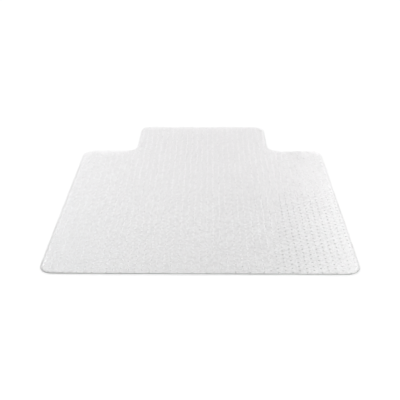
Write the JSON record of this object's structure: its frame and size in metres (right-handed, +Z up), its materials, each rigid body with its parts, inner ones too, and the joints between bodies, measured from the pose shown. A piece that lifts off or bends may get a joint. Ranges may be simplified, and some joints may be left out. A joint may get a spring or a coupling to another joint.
{
  "type": "chair mat",
  "caption": "Flat clear vinyl floor mat in a T outline, a wide panel for a desk chair to roll on and a lip that goes under the desk, with a bevelled rim and gripper studs below.",
  "frame": {"origin": "centre of the mat's bounding box, on the floor under the stud tips", "axes": "+Z up out of the rolling surface, +Y from the user's edge towards the lip, +X to the right of a person facing the desk"},
  "size_m": [1.143, 1.3462, 0.0075],
  "materials": {
    "mat_sheet": "clear vinyl, finely pebbled on top",
    "panel_grip_studs": "clear vinyl, smooth from the mould",
    "lip_grip_studs": "clear vinyl, smooth from the mould"
  },
  "bodies": {
    "root": {"mat_sheet": "mat_sheet", "panel_grip_studs": "panel_grip_studs", "lip_grip_studs": "lip_grip_studs"}
  },
  "joints": []
}
